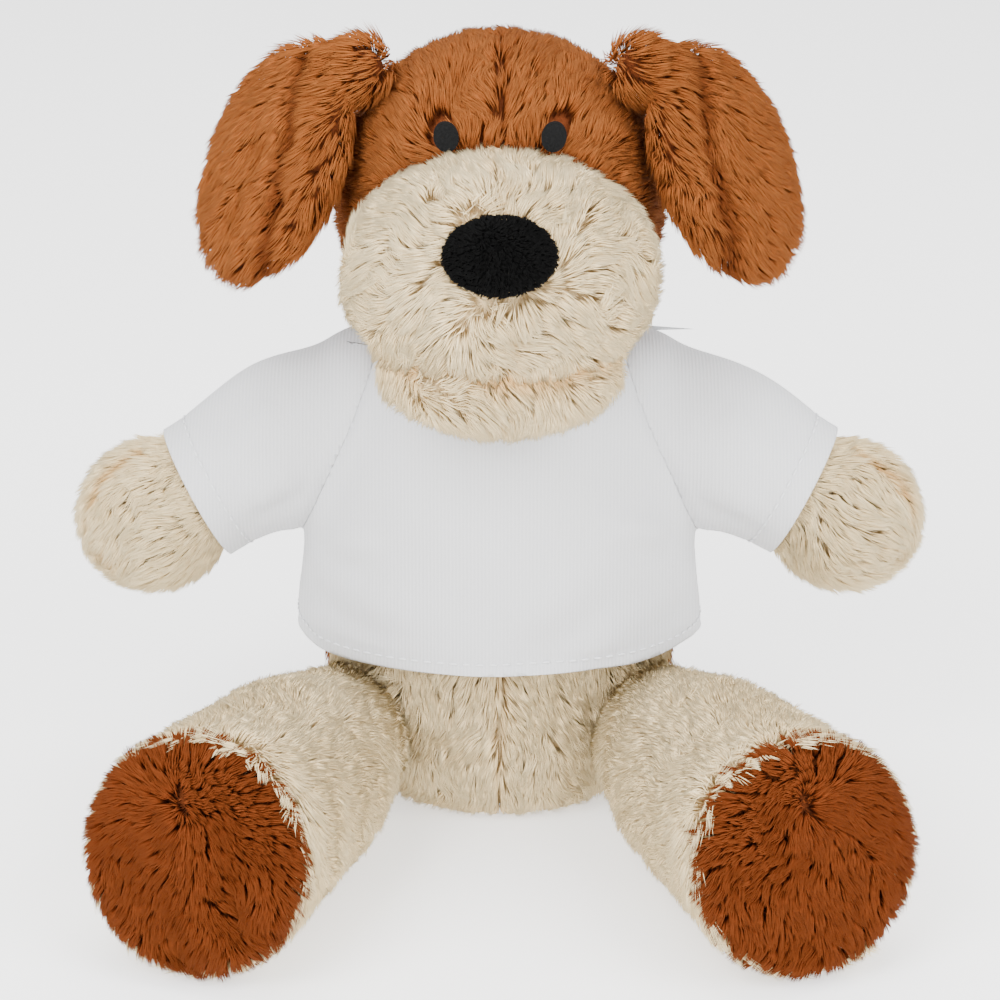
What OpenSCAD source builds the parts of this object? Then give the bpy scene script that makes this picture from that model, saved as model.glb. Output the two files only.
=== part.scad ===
// A sitting plush puppy in a plain T-shirt, made of stuffed fabric bags that are sewn together.
// The seat rests on z = 0 with the origin at the middle of its flat base.
// The puppy faces -Y, +Z is up, and its own left side is +X.

/* [Body] */
// Width of the belly across the widest part
belly_w = 92; // [80:1:96]
// Depth of the body as a share of its width
body_depth_ratio = 0.88; // [0.84:0.01:0.92]
// Height of the top of the body, where the neck starts
body_h = 117.5; // [114:0.5:119]
// Thickness of a plush cover, backing and pile together
cover_t = 6; // [4:0.5:6.5]

/* [Head] */
// Width of the head without the ears
head_w = 84; // [78:1:86]
// Height of the top of the head above the seat
head_top = 198; // [194:1:204]
// How far the muzzle stands forward of the neck
muzzle_reach = 75; // [70:1:80]
// Width of the muzzle
muzzle_w = 77; // [72:1:80]
// Width of the nose
nose_w = 26; // [20:1:30]
// Diameter of an eye disc
eye_d = 6; // [5:0.5:6.5]
// Distance from the middle of the head to each eye
eye_x = 12.7; // [10:0.1:16]

/* [Arms] */
// Distance from the middle of the body to each shoulder
shoulder_x = 47; // [46:0.5:49]
// Height of the shoulders
shoulder_z = 95; // [92:0.5:97]
// Angle of the arms below the horizontal
arm_drop = 27; // [20:1:30]
// Length of an arm from its shoulder to the tip of its paw
arm_len = 65; // [60:1:74]
// Radius of a paw
paw_r = 19.5; // [17:0.5:20]

/* [Legs] */
// Distance from the middle of the body to each hip
hip_x = 40; // [39:0.5:44]
// Distance from the middle of the body forward to each hip
hip_forward = 27; // [26:0.5:32]
// Angle of the legs out from straight ahead
leg_splay = 21; // [18:1:28]
// Length of a leg from its hip to its sole
leg_len = 92; // [84:1:100]
// Radius of a foot
foot_r = 28.5; // [26:0.5:29]

/* [Shirt] */
// Height of the hem above the seat
hem_z = 44; // [43:0.5:50]
// Thickness of the jersey
jersey_t = 1.2; // [1:0.1:1.6]
// How far the hem stands out from the side of the body
hem_flare = 3.5; // [2:0.5:5]

/* [Tail] */
// Length of the tail
tail_len = 40; // [30:1:50]
// Radius of the tail at its thickest
tail_r = 9; // [7:0.5:10]

/* [Hidden] */

LEFT = 1;
RIGHT = -1;

// Facets of a full circle; the surfaces themselves are round
fine = 96;
thread_fine = 24;
// Far past every side of the object, for cutting it in two
beyond = 300;
// Gap left between pieces that touch in one stuffed bag
skin_gap = 0.2;
// Looser gap round the filling of the body, whose outlines are stepped differently
filling_gap = 1.5;
// Gap between pieces that move past each other
play = 0.5;

// Colours of the fabrics
brown_plush = "peru";
cream_plush = "wheat";
black_plush = "black";
eye_felt = "darkslategray";
jersey = "whitesmoke";
fibre = "ivory";
pellets = "lightsteelblue";
thread = "gainsboro";

// Body outline: a rounded barrel, widest at the belly
belly_r = belly_w / 2;
belly_z = 52;
barrel_half_h = body_h - belly_z;
low_roundness = 2.6;
high_roundness = 4.5;
shoulder_taper = 0.1;
outline_steps = 9;

// Where the side seams of the body and of the shirt run
side_seam_y = -6;
shirt_seam_y = 6;

// Seat
seat_r = 27;
seat_t = 4;
pellet_bag_r = 22;
pellet_bag_h = 26;

// Neck
neck_z = 116;
neck_r = 20;
neck_band_r = 24;
neck_band_t = 2;
neck_band_h = 4.5;
neck_band_low = 113.5;

// Head
head_r = head_w / 2;
head_depth_r = 40;
head_half_h = 42;
head_y = 2;
head_z = head_top - head_half_h;
head_base_z = 123.5;
muzzle_half_h = 29.5;
muzzle_z = 148.5;
muzzle_depth_r = 37;
muzzle_y = muzzle_depth_r - muzzle_reach;
chin_r = [30, 25, 17];
chin_at = [0, -46, 128.5];
// Space kept free above the shirt for the neck's movement
collar_r = 34;
// The mouth: an arc of thread in the crease above the chin
mouth_z = 133;
mouth_r = 33.6;
mouth_half_angle = 46;

// Nose and eyes
nose_r = [nose_w / 2, 5, 9.5];
nose_at = [0, -70.5, 163];
nose_tilt = -35;
eye_z = 179.5;
eye_t = 1.5;

// Ears
ear_r = [10, 23, 32];
ear_at = [54, -8, 167];
ear_lean = -28;
ear_turn = -45;
ear_root = [33, -4, 189];
ear_root_r = 10;

// Arms
arm_r = 15.5;
arm_forward = 8;
// How far an arm drops below its rest
arm_lower = 5;
shoulder_r = 16.5;
paw_half_len = 20;
sleeve_gap = 0.4;
sleeve_in = shoulder_r + sleeve_gap;
sleeve_out = sleeve_in + jersey_t;
cuff_at = 33;
cuff_thread_at = 27;
// The sleeve is open towards the body from here inwards
armhole_at = -6;

// Legs
hip_z = 23;
hip_r = 18.5;
hip_core_r = 11;
hip_room = 2.5;
leg_rise = 4.2;
shin_r = 25;
shin_at = 30;
ankle_r = 27;
ankle_at = 62;
heel_at = leg_len - 10;
sole_edge_at = leg_len - 3;
sole_r = 27;
sole_t = 5;
sole_rim = 1.5;
// Soft space between a sole and the filling of its leg
sole_room = 8;
filling_end = leg_len - sole_t - sole_room;

// Threads
thread_r = 0.35;
hem_thread_z = hem_z + 3.4;

// Tail
tail_at = [0, 38.5, 19];
tail_rise = 35;
tail_root_r = 8;
// How far the tail runs on into its root
tail_lap = 6;
// Gap round the tail's root, which lets it wag
tail_room = 4;

// Share of the barrel's radius left at a height, when its skin is moved in by inset
function roundness(z) = z < belly_z ? low_roundness : high_roundness;
function closing(z, inset) = 1 - pow(abs(z - belly_z) / (barrel_half_h - inset), roundness(z));
function barrel_share(z, inset) = pow(max(0, closing(z, inset)), 1 / roundness(z));
function taper(z) = z < belly_z ? 1 : 1 - shoulder_taper * (z - belly_z) / barrel_half_h;
function barrel_r(z, inset) = (belly_r - inset) * taper(z) * barrel_share(z, inset);

// Radius of the shirt: the body's own, and looser towards the hem
function flare(z) = hem_flare * max(0, 1 - (z - hem_z) / (shoulder_z - hem_z));
function shirt_r(z, out) = barrel_r(z, -out) + flare(z);

// Heights that lie closer together towards the top, where the outline turns quickly
function heights(low, high) =
    [for (i = [0:outline_steps]) low + (high - low) * sin(90 * i / outline_steps)];

// Shapes that the pieces share

module on_side(side) {
    if (side == LEFT) children();
    else mirror([1, 0, 0]) children();
}

module ball(at, r) {
    translate(at) sphere(r = r, $fn = fine);
}

module egg(at, radii, turned = [0, 0, 0], grow = 0) {
    translate(at)
        rotate(turned)
            scale([radii.x + grow, radii.y + grow, radii.z + grow])
                sphere(r = 1, $fn = fine);
}

// Everything in front of y
module front_half(y) {
    translate([-beyond, y - 2 * beyond, -beyond]) cube(2 * beyond);
}

// Everything to the puppy's left of x
module left_half(x) {
    translate([x, -beyond, -beyond]) cube(2 * beyond);
}

// A closed solid of revolution, flattened front to back like the body
module body_turning(radii, rows) {
    outline = [for (i = [0:len(rows) - 1]) [radii[i], rows[i]]];
    last = len(rows) - 1;
    scale([1, body_depth_ratio, 1])
        rotate_extrude($fn = fine)
            polygon(concat([[0, rows[0]]], outline, [[0, rows[last]]]));
}

// A ring of thread lying round a sleeve or a hem of radius r
module thread_ring(r) {
    rotate_extrude($fn = fine)
        translate([r + thread_r + skin_gap / 2, 0])
            circle(r = thread_r, $fn = thread_fine);
}

// Body

module barrel(inset, low, high) {
    rows = heights(low, high);
    body_turning([for (z = rows) barrel_r(z, inset)], rows);
}

// The room that a sleeve sweeps through as the arm drops to its lowest
module arm_room() {
    translate([shoulder_x, 0, shoulder_z]) {
        sphere(r = sleeve_out + play, $fn = fine);
        for (drop = [arm_drop, arm_drop + arm_lower])
            rotate([0, 90 + drop, -arm_forward])
                cylinder(r = sleeve_out + play, h = 2 * sleeve_out, $fn = fine);
    }
}

// The rooms that the neck, the arms, the legs and the tail take out of the body
module joint_sockets() {
    ball([0, 0, neck_z], neck_r + play);
    ball(tail_at, tail_root_r + tail_room);
    for (side = [LEFT, RIGHT]) on_side(side) {
        arm_room();
        ball([hip_x, -hip_forward, hip_z], hip_r + hip_room);
    }
}

module body_cover() {
    difference() {
        barrel(0, 0, body_h - skin_gap);
        barrel(cover_t, -1, body_h - cover_t - skin_gap);
        translate([0, 0, -1]) cylinder(r = seat_r + skin_gap, h = seat_t + 1, $fn = fine);
        joint_sockets();
    }
}

module seat_panel() {
    color(cream_plush) difference() {
        cylinder(r = seat_r, h = seat_t, $fn = fine);
        joint_sockets();
    }
}

module belly_panel() {
    color(cream_plush) intersection() {
        body_cover();
        front_half(side_seam_y);
    }
}

module back_panel() {
    color(brown_plush) difference() {
        body_cover();
        front_half(side_seam_y + skin_gap);
    }
}

module pellet_space(grow) {
    translate([0, 0, seat_t + skin_gap])
        cylinder(r = pellet_bag_r + grow, h = pellet_bag_h + grow, $fn = fine);
}

module pellet_bag() {
    color(pellets) difference() {
        pellet_space(0);
        joint_sockets();
    }
}

module torso_stuffing() {
    color(fibre) difference() {
        barrel(cover_t + filling_gap, seat_t + skin_gap, body_h - cover_t - filling_gap);
        pellet_space(skin_gap);
        joint_sockets();
    }
}

// Shirt

module shirt_solid(out, low, high) {
    rows = heights(low, high);
    body_turning([for (z = rows) shirt_r(z, out)], rows);
}

module shirt_body() {
    difference() {
        shirt_solid(2 * jersey_t, hem_z, body_h + jersey_t);
        shirt_solid(jersey_t, hem_z - 1, body_h);
        ball([0, 0, neck_z], neck_band_r + skin_gap);
        for (side = [LEFT, RIGHT]) on_side(side) arm_room();
    }
}

module shirt_front() {
    color(jersey) intersection() {
        shirt_body();
        front_half(shirt_seam_y);
    }
}

module shirt_back() {
    color(jersey) difference() {
        shirt_body();
        front_half(shirt_seam_y + skin_gap);
    }
}

// The ribbed collar, round the foot of the neck
module neck_band() {
    color(jersey) difference() {
        intersection() {
            ball([0, 0, neck_z], neck_band_r);
            translate([0, 0, neck_band_low])
                cylinder(r = neck_band_r, h = neck_band_h, $fn = fine);
        }
        ball([0, 0, neck_z], neck_band_r - neck_band_t);
        barrel(-skin_gap, 0, body_h);
    }
}

// Hoop of thread, flattened front to back like the body
module hem_thread() {
    in = shirt_r(hem_thread_z, 2 * jersey_t) + skin_gap;
    color(thread)
        translate([0, 0, hem_thread_z])
            scale([1, body_depth_ratio, 1]) difference() {
                cylinder(r = in + 2 * thread_r, h = 2 * thread_r, $fn = fine);
                translate([0, 0, -1]) cylinder(r = in, h = 2 + 2 * thread_r, $fn = fine);
            }
}

// Head

module head_egg(grow = 0) {
    egg([0, head_y, head_z], [head_r, head_depth_r, head_half_h], grow = grow);
}

module muzzle_egg(grow = 0) {
    egg([0, muzzle_y, muzzle_z], [muzzle_w / 2, muzzle_depth_r, muzzle_half_h], grow = grow);
}

module chin_egg(grow = 0) {
    egg(chin_at, chin_r, grow = grow);
}

// The nose is let into the muzzle to half its depth
module nose_egg(grow = 0) {
    egg(nose_at, nose_r, [nose_tilt, 0, 0], grow);
}

// The room round the neck that the head keeps clear of
module collar_room() {
    ball([0, 0, neck_z], neck_r + play);
    cylinder(r = collar_r, h = head_base_z, $fn = fine);
}

module neck_stuffing() {
    color(fibre) ball([0, 0, neck_z], neck_r);
}

module crown() {
    difference() {
        head_egg();
        head_egg(-cover_t);
        muzzle_egg(skin_gap);
        collar_room();
        for (side = [LEFT, RIGHT]) on_side(side) ball(ear_root, ear_root_r + play);
    }
}

module crown_left() {
    color(brown_plush) intersection() {
        crown();
        left_half(skin_gap / 2);
    }
}

module crown_right() {
    color(brown_plush) difference() {
        crown();
        left_half(-skin_gap / 2);
    }
}

module muzzle() {
    difference() {
        muzzle_egg();
        muzzle_egg(-cover_t);
        head_egg(skin_gap);
        chin_egg(skin_gap);
        nose_egg(skin_gap);
        collar_room();
    }
}

module muzzle_left() {
    color(cream_plush) intersection() {
        muzzle();
        left_half(skin_gap / 2);
    }
}

module muzzle_right() {
    color(cream_plush) difference() {
        muzzle();
        left_half(-skin_gap / 2);
    }
}

module chin_panel() {
    color(cream_plush) difference() {
        chin_egg();
        chin_egg(-cover_t);
        muzzle_egg(-cover_t);
        head_egg(skin_gap);
        collar_room();
    }
}

module head_stuffing() {
    color(fibre) difference() {
        union() {
            head_egg(-cover_t - skin_gap);
            muzzle_egg(-cover_t - skin_gap);
            chin_egg(-cover_t - skin_gap);
        }
        nose_egg(skin_gap);
        collar_room();
    }
}

module nose() {
    color(black_plush) nose_egg();
}

// A felt disc that follows the curve of the brow
module eye(side) {
    color(eye_felt) on_side(side) difference() {
        intersection() {
            translate([eye_x, 0, eye_z])
                rotate([90, 0, 0]) cylinder(d = eye_d, h = beyond, $fn = fine);
            head_egg(eye_t);
        }
        head_egg(skin_gap);
    }
}

module eye_left() { eye(LEFT); }
module eye_right() { eye(RIGHT); }

// An arc of thread across the crease between the muzzle and the chin
module mouth_thread() {
    color(thread)
        translate([0, muzzle_y, mouth_z])
            rotate([0, 0, -90 - mouth_half_angle])
                rotate_extrude(angle = 2 * mouth_half_angle, $fn = fine)
                    translate([mouth_r, 0])
                        circle(r = thread_r, $fn = thread_fine);
}

// Ears: each is a stuffed flap of two panels, sewn edge to edge and hung from its root

module along_ear(side) {
    on_side(side) translate(ear_at) rotate([0, ear_lean, ear_turn]) children();
}

module ear_bag(side) {
    on_side(side) ball(ear_root, ear_root_r);
    difference() {
        along_ear(side) scale(ear_r) sphere(r = 1, $fn = fine);
        head_egg(play);
    }
}

// Everything on the front face of an ear's middle plane, moved out by gap
module ear_front_side(side, gap) {
    along_ear(side) translate([gap, -beyond, -beyond]) cube(2 * beyond);
}

module ear_front(side) {
    color(brown_plush) intersection() {
        ear_bag(side);
        ear_front_side(side, skin_gap);
    }
}

module ear_back(side) {
    color(brown_plush) difference() {
        ear_bag(side);
        ear_front_side(side, 0);
    }
}

module ear_left_front() { ear_front(LEFT); }
module ear_left_back() { ear_back(LEFT); }
module ear_right_front() { ear_front(RIGHT); }
module ear_right_back() { ear_back(RIGHT); }

// Arms: built along +Z from the shoulder, then laid out to the side

module along_arm(side) {
    on_side(side)
        translate([shoulder_x, 0, shoulder_z])
            rotate([0, 90 + arm_drop, -arm_forward])
                children();
}

module arm_solid(inset) {
    paw_at = arm_len - paw_half_len;
    ball([0, 0, 0], shoulder_r - inset);
    cylinder(r = arm_r - inset, h = paw_at, $fn = fine);
    egg([0, 0, paw_at], [paw_r, paw_r, paw_half_len], grow = -inset);
}

module arm_cover(side) {
    color(cream_plush) along_arm(side) difference() {
        arm_solid(0);
        arm_solid(cover_t);
    }
}

module arm_stuffing(side) {
    color(fibre) along_arm(side) arm_solid(cover_t + skin_gap);
}

module sleeve_space(r, length) {
    ball([0, 0, 0], r);
    cylinder(r = r, h = length, $fn = fine);
}

module sleeve(side) {
    color(jersey) along_arm(side) difference() {
        sleeve_space(sleeve_out, cuff_at);
        sleeve_space(sleeve_in, cuff_at + 1);
        translate([-beyond, -beyond, armhole_at - 2 * beyond]) cube(2 * beyond);
    }
}

module cuff_thread(side) {
    color(thread) along_arm(side) translate([0, 0, cuff_thread_at]) thread_ring(sleeve_out);
}

module arm_left_cover() { arm_cover(LEFT); }
module arm_left_stuffing() { arm_stuffing(LEFT); }
module sleeve_left() { sleeve(LEFT); }
module cuff_thread_left() { cuff_thread(LEFT); }
module arm_right_cover() { arm_cover(RIGHT); }
module arm_right_stuffing() { arm_stuffing(RIGHT); }
module sleeve_right() { sleeve(RIGHT); }
module cuff_thread_right() { cuff_thread(RIGHT); }

// Legs: built along +Z from the hip, then laid forward and splayed

module along_leg(side) {
    on_side(side)
        translate([hip_x, -hip_forward, hip_z])
            rotate([90 - leg_rise, 0, leg_splay])
                children();
}

module leg_solid(inset) {
    end = leg_len - (inset > 0 ? sole_t : 0);
    ball([0, 0, 0], hip_r - inset);
    rotate_extrude($fn = fine) polygon([
        [0, 0],
        [hip_r - inset, 0],
        [shin_r - inset, shin_at],
        [ankle_r - inset, ankle_at],
        [foot_r - inset, heel_at],
        [foot_r - inset, sole_edge_at - sole_t],
        [sole_r - inset, end],
        [0, end]
    ]);
}

module sole_space(grow) {
    translate([0, 0, leg_len - sole_t - grow])
        cylinder(r = sole_r - sole_rim + grow, h = sole_t + 2 * grow, $fn = fine);
}

module leg_cover(side) {
    color(cream_plush) along_leg(side) difference() {
        leg_solid(0);
        leg_solid(cover_t);
        sole_space(skin_gap);
    }
}

module leg_stuffing(side) {
    color(fibre) along_leg(side) difference() {
        leg_solid(cover_t + skin_gap);
        ball([0, 0, 0], hip_core_r + play);
        translate([0, 0, filling_end]) cylinder(r = foot_r, h = leg_len, $fn = fine);
    }
}

module hip_stuffing(side) {
    color(fibre) along_leg(side) ball([0, 0, 0], hip_core_r);
}

module sole(side) {
    color(brown_plush) along_leg(side) sole_space(0);
}

module hip_left_stuffing() { hip_stuffing(LEFT); }
module leg_left_cover() { leg_cover(LEFT); }
module leg_left_stuffing() { leg_stuffing(LEFT); }
module sole_left() { sole(LEFT); }
module hip_right_stuffing() { hip_stuffing(RIGHT); }
module leg_right_cover() { leg_cover(RIGHT); }
module leg_right_stuffing() { leg_stuffing(RIGHT); }
module sole_right() { sole(RIGHT); }

// Tail

module tail_solid(inset) {
    half_len = (tail_len + tail_lap) / 2;
    translate(tail_at) rotate([tail_rise - 90, 0, 0]) {
        ball([0, 0, 0], tail_root_r - inset);
        egg([0, 0, half_len - tail_lap], [tail_r, tail_r, half_len], grow = -inset);
    }
}

module tail_cover() {
    color(brown_plush) difference() {
        tail_solid(0);
        tail_solid(cover_t);
    }
}

module tail_stuffing() {
    color(fibre) tail_solid(cover_t + skin_gap);
}

seat_panel();
belly_panel();
back_panel();
torso_stuffing();
pellet_bag();
shirt_front();
shirt_back();
neck_band();
hem_thread();
neck_stuffing();
crown_left();
crown_right();
muzzle_left();
muzzle_right();
chin_panel();
head_stuffing();
nose();
eye_left();
eye_right();
mouth_thread();
ear_left_front();
ear_left_back();
ear_right_front();
ear_right_back();
arm_left_cover();
arm_left_stuffing();
sleeve_left();
cuff_thread_left();
arm_right_cover();
arm_right_stuffing();
sleeve_right();
cuff_thread_right();
hip_left_stuffing();
leg_left_cover();
leg_left_stuffing();
sole_left();
hip_right_stuffing();
leg_right_cover();
leg_right_stuffing();
sole_right();
tail_cover();
tail_stuffing();
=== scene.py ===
"""A sitting plush puppy in a plain T-shirt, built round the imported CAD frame.

Shapes are worked out in millimetres in the frame's axes (+Z up, the puppy faces -Y) and become metres
in build_mesh(). Each plush bag is an implicit solid: its skin lies one pile depth inside the CAD surface,
and its fur is real tapered tufts that grow from that skin out to the CAD surface.
"""
import math

import bmesh
import bpy
import numpy as np
from mathutils import Euler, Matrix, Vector, kdtree
from mathutils.bvhtree import BVHTree


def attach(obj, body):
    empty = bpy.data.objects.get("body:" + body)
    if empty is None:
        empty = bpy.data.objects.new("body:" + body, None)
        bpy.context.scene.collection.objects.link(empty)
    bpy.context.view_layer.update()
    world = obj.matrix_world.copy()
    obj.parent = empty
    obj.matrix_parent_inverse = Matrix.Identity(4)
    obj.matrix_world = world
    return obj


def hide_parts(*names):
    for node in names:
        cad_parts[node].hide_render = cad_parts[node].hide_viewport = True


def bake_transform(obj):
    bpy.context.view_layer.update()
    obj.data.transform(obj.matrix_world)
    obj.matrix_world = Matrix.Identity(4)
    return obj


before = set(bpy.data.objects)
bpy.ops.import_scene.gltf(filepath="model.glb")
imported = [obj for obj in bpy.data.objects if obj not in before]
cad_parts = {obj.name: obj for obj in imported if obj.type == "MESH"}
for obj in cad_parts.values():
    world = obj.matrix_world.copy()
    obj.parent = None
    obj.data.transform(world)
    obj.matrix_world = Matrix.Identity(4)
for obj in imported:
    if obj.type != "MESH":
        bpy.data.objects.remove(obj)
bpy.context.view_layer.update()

MM = 0.001
LEFT, RIGHT = 1, -1
SIDES = {"left": LEFT, "right": RIGHT}

# ---------------------------------------------------------------- sizes, in millimetres, as in the CAD model
HEAD_AT, HEAD_R = (0, 2, 156), (42, 40, 42)
MUZZLE_AT, MUZZLE_R = (0, -38, 148.5), (38.5, 37, 29.5)
CHIN_AT, CHIN_R = (0, -46, 128.5), (30, 25, 17)
NOSE_AT, NOSE_R, NOSE_TILT = (0, -70.5, 163), (13, 5, 9.5), -35
EYE_X, EYE_Z, EYE_R = 12.7, 179.5, 3.0
# A point from which the whole skin of the head can be seen, and the same for an ear
HEAD_CENTRE = (0, -18, 150)
EAR_CENTRE = (41, -5, 183)

BELLY_R, BODY_H, BELLY_Z, BODY_DEPTH = 46, 117.5, 52, 0.88
BARREL_HALF_H = BODY_H - BELLY_Z
LOW_ROUNDNESS, HIGH_ROUNDNESS, SHOULDER_TAPER = 2.6, 4.5, 0.1
SIDE_SEAM_Y = -6

EAR_AT, EAR_R, EAR_LEAN, EAR_TURN = (54, -8, 167), (10, 23, 32), -28, -45
EAR_ROOT, EAR_ROOT_R = (33, -4, 189), 10

SHOULDER, ARM_DROP, ARM_FORWARD = (47, 0, 95), 27, 8
ARM_R, ARM_LEN, PAW_R, PAW_HALF_LEN = 15.5, 65, 19.5, 20
CUFF_AT = 33

HIP, LEG_SPLAY, LEG_RISE, LEG_LEN = (40, -27, 23), 21, 4.2, 92
LEG_STATIONS, LEG_RADII = (0, 30, 62, 82, 86, 92), (19, 26, 28, 29.5, 29.5, 29)
SOLE_R, SOLE_TILT = 28.0, 9

TAIL_AT, TAIL_RISE, TAIL_LEN, TAIL_LAP, TAIL_R, TAIL_ROOT_R = (0, 38.5, 19), 35, 40, 6, 9, 8

HEM_Z, SHOULDER_Z, HEM_FLARE = 44, 95, 3.5
# Rise of the hem for each millimetre towards the back: the front is lifted by the belly and the legs
HEM_TILT = -0.075
JERSEY_T = 0.9

# Depth of the skin under the surface that the tips of the pile make
PILE = 5.0

# ---------------------------------------------------------------- camera
# Place in millimetres, lens and sensor in millimetres, and degrees below the horizontal
CAMERA_AT = (0, -845.7, 407.8)
CAMERA_LENS = 129.0
CAMERA_SENSOR = 36.0
CAMERA_DOWN = 21.42


def place_camera():
    data = bpy.data.cameras.new("camera")
    data.lens = CAMERA_LENS
    data.sensor_width = CAMERA_SENSOR
    camera = bpy.data.objects.new("camera", data)
    camera.location = Vector(CAMERA_AT) * MM
    camera.rotation_euler = Euler((math.radians(90 - CAMERA_DOWN), 0, 0))
    bpy.context.scene.collection.objects.link(camera)
    bpy.context.scene.camera = camera


# ---------------------------------------------------------------- vectors and blends
def vec(point):
    return np.array(point, dtype=float)


def unit(v):
    return v / (np.linalg.norm(v, axis=-1, keepdims=True) + 1e-12)


def turning(x_deg, y_deg, z_deg):
    """Rotation matrix whose columns are the turned axes."""
    angles = [math.radians(a) for a in (x_deg, y_deg, z_deg)]
    return np.array(Euler(angles).to_matrix())


def mirrored(point, side):
    return vec(point) * (side, 1, 1)


def limb_axes(side, x_deg, y_deg, z_deg):
    """Axes of a limb, the third along it, mirrored for the right side."""
    return turning(x_deg, y_deg, z_deg) * vec((side, 1, 1))[:, None]


def wobble(p, wavelength, seed):
    """Smooth vector noise, about -1 to 1 in each axis: a few plane waves."""
    rng = np.random.default_rng(seed)
    total = np.zeros_like(p)
    for _ in range(6):
        wave = unit(rng.normal(size=3)) * 2 * np.pi / (wavelength * rng.uniform(0.7, 1.5))
        phase = rng.uniform(0, 2 * np.pi, 3)
        total += np.sin((p @ wave)[:, None] + phase)
    return total / 2.5


def ramp(value, low, high):
    """0 below low, 1 above high, smooth between."""
    t = np.clip((value - low) / (high - low), 0, 1)
    return t * t * (3 - 2 * t)


# ---------------------------------------------------------------- implicit solids
def egg(at, radii, axes=None):
    """Signed distance, near enough, to an ellipsoid: a function of an (n, 3) array of points."""
    at, radii = vec(at), vec(radii)

    def distance(p):
        q = p - at
        if axes is not None:
            q = q @ axes
        k0 = np.linalg.norm(q / radii, axis=1)
        k1 = np.linalg.norm(q / radii ** 2, axis=1) + 1e-9
        return k0 * (k0 - 1) / k1

    return distance


def smooth_min(a, b, k):
    h = np.clip(0.5 + 0.5 * (b - a) / k, 0, 1)
    return b * (1 - h) + a * h - k * h * (1 - h)


def barrel(grow=0.0, flare=0.0):
    """Signed distance, near enough, to the body's barrel, looser towards the hem by flare."""
    def distance(p):
        x, y, z = p[:, 0], p[:, 1] / BODY_DEPTH, p[:, 2]
        up = z > BELLY_Z
        n = np.where(up, HIGH_ROUNDNESS, LOW_ROUNDNESS)
        taper = np.where(up, 1 - SHOULDER_TAPER * (z - BELLY_Z) / BARREL_HALF_H, 1)
        loose = flare * np.clip(1 - (z - HEM_Z) / (SHOULDER_Z - HEM_Z), 0, 1)
        radius = (BELLY_R + grow) * taper + loose
        level = ((np.hypot(x, y) / radius) ** n + (np.abs(z - BELLY_Z) / (BARREL_HALF_H + grow)) ** n) ** (1 / n)
        return (level - 1) * radius * 0.9

    return distance


def capsule(at, axes, radius, start, end):
    def distance(p):
        q = (p - at) @ axes
        s = np.clip(q[:, 2], start, end)
        return np.sqrt(q[:, 0] ** 2 + q[:, 1] ** 2 + (q[:, 2] - s) ** 2) - radius

    return distance


def arm_place(side):
    return mirrored(SHOULDER, side), limb_axes(side, 0, 90 + ARM_DROP, -ARM_FORWARD)


def arm(side):
    at, axes = arm_place(side)
    paw_at = ARM_LEN - PAW_HALF_LEN
    tube = capsule(at, axes, ARM_R, 0, paw_at)
    paw = egg(at + axes[:, 2] * paw_at, (PAW_R, PAW_R, PAW_HALF_LEN), axes)
    return lambda p: smooth_min(tube(p), paw(p), 5)


def leg_place(side):
    return mirrored(HIP, side), limb_axes(side, 90 - LEG_RISE, 0, LEG_SPLAY)


def leg(side):
    at, axes = leg_place(side)

    def distance(p):
        q = (p - at) @ axes
        s = q[:, 2]
        wall = np.hypot(q[:, 0], q[:, 1]) - np.interp(s, LEG_STATIONS, LEG_RADII)
        wall = np.where(s < 0, np.linalg.norm(q, axis=1) - LEG_RADII[0], wall)
        end = s - LEG_LEN + height_over(at, axes, p) * math.tan(math.radians(SOLE_TILT))
        return np.maximum(-smooth_min(-wall, -end, 5), 1.2 - PILE - p[:, 2])

    return distance


def height_over(at, axes, p):
    """Height of points above a limb's own axis."""
    along = (p - at) @ axes[:, 2]
    return p[:, 2] - (at[2] + along * axes[2, 2])


def ear(side):
    axes = limb_axes(side, 0, EAR_LEAN, EAR_TURN)
    flap = egg(mirrored(EAR_AT, side), EAR_R, axes)
    root = egg(mirrored(EAR_ROOT, side), (EAR_ROOT_R,) * 3)
    return lambda p: smooth_min(flap(p), root(p), 12)


def tail_place():
    return vec(TAIL_AT), turning(TAIL_RISE - 90, 0, 0)


def tail(p):
    at, axes = tail_place()
    half = (TAIL_LEN + TAIL_LAP) / 2
    root = egg(at, (TAIL_ROOT_R,) * 3)
    tip = egg(at + axes[:, 2] * (half - TAIL_LAP), (TAIL_R, TAIL_R, half), axes)
    return smooth_min(root(p), tip(p), 4)


crown_egg = egg(HEAD_AT, HEAD_R)
muzzle_egg = egg(MUZZLE_AT, MUZZLE_R)
chin_egg = egg(CHIN_AT, CHIN_R)


def snout(p):
    return smooth_min(muzzle_egg(p), chin_egg(p), 6)


def head(p):
    return smooth_min(crown_egg(p), snout(p), 3)


body = barrel()


def gradient(solid, p, step=0.05):
    g = np.empty_like(p)
    for axis in range(3):
        shift = np.zeros(3)
        shift[axis] = step
        g[:, axis] = solid(p + shift) - solid(p - shift)
    return unit(g)


# ---------------------------------------------------------------- meshes
def new_object(name, mesh):
    obj = bpy.data.objects.new(name, mesh)
    bpy.context.scene.collection.objects.link(obj)
    return obj


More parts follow.
